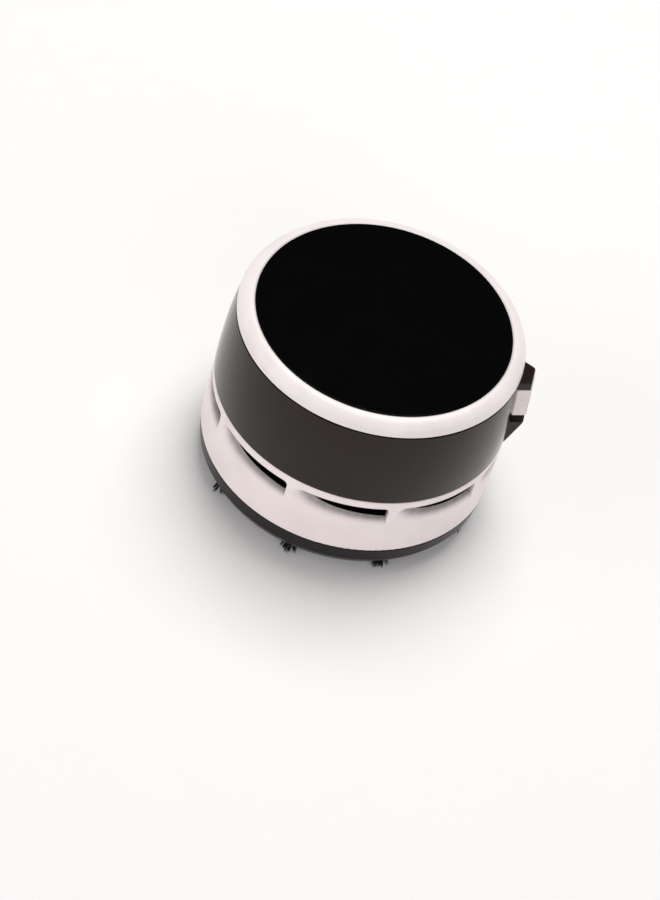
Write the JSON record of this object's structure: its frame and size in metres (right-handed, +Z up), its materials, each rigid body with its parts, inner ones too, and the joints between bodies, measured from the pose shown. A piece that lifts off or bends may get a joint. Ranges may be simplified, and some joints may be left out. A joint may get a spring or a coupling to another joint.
{
  "type": "desktop vacuum cleaner",
  "caption": "Round battery desktop vacuum cleaner with a bristle base, scooped exhaust vents, side slide switch, fan, dust filter and lift-off battery cover.",
  "frame": {"origin": "on the round body's axis, at the level of the bristle tips", "axes": "+Z up along the body's axis; the slide switch faces halfway between +X and -Y"},
  "size_m": [0.085, 0.085, 0.0607],
  "materials": {
    "disc_black": "polished black",
    "cover_white": "satin white moulding",
    "band_black": "polished black moulding",
    "housing_white": "satin white moulding",
    "base_black": "fine matt black moulding",
    "bristle_black": "black nylon",
    "knob_white": "satin white moulding",
    "frame_white": "plain moulding",
    "felt": "pressed felt",
    "seal_rubber": "soft black",
    "deck_grey": "plain moulding",
    "impeller_grey": "plain moulding",
    "chassis_grey": "plain moulding",
    "shaft_steel": "ground",
    "motor_steel": "zinc plated",
    "bush_bronze": "sintered",
    "bell_black": "plain moulding",
    "terminal_brass": "plain",
    "screw_steel": "zinc plated",
    "battery_sleeve": "plain printed-free sleeve",
    "contact_nickel": "nickel plated",
    "switch_case": "tinned sheet",
    "lever_black": "plain moulding",
    "wire_red": "insulated",
    "wire_white": "insulated",
    "wire_black": "insulated"
  },
  "bodies": {
    "housing": {"body_band": "band_black", "vent_housing": "housing_white", "fan_deck": "deck_grey", "deck_screws": "screw_steel", "motor_can": "motor_steel", "motor_bush": "bush_bronze", "motor_end_bell": "bell_black", "motor_terminals": "terminal_brass", "motor_screws": "screw_steel", "chassis": "chassis_grey", "housing_screws": "screw_steel", "band_screws": "screw_steel", "battery_left": "battery_sleeve", "battery_right": "battery_sleeve", "contact_positive": "contact_nickel", "contact_negative": "contact_nickel", "contact_bridge": "contact_nickel", "switch_body": "switch_case", "wire_battery": "wire_red", "wire_switch": "wire_white", "wire_motor": "wire_black"},
    "rotor": {"motor_shaft": "shaft_steel", "impeller": "impeller_grey"},
    "switch": {"switch_knob": "knob_white", "switch_lever": "lever_black"},
    "cover": {"top_cover": "cover_white", "top_disc": "disc_black"},
    "filter": {"filter_frame": "frame_white", "filter_felt": "felt", "dust_seal": "seal_rubber"},
    "base": {"base_cover": "base_black", "bristle_tuft_1": "bristle_black", "bristle_tuft_2": "bristle_black", "bristle_tuft_3": "bristle_black", "bristle_tuft_4": "bristle_black", "bristle_tuft_5": "bristle_black", "bristle_tuft_6": "bristle_black", "bristle_tuft_7": "bristle_black", "bristle_tuft_8": "bristle_black", "bristle_tuft_9": "bristle_black"}
  },
  "joints": [
    {"name": "fan_spin", "type": "hinge", "parent": "housing", "child": "rotor", "pos_m": [0, 0, 0.025], "axis": [0, 0, 1], "continuous": true},
    {"name": "switch_slide", "type": "slide", "parent": "housing", "child": "switch", "axis": [0, 0, -1], "range_m": [0, 0.0026]},
    {"name": "cover_lift", "type": "slide", "parent": "housing", "child": "cover", "axis": [0, 0, 1], "range_m": [0, 0.03]},
    {"name": "base_drop", "type": "slide", "parent": "housing", "child": "filter", "axis": [0, 0, -1], "range_m": [0, 0.025]},
    {"name": "base_twist", "type": "hinge", "parent": "filter", "child": "base", "pos_m": [0, 0, 0.01], "axis": [0, 0, 1], "range_deg": [0, 50]}
  ]
}
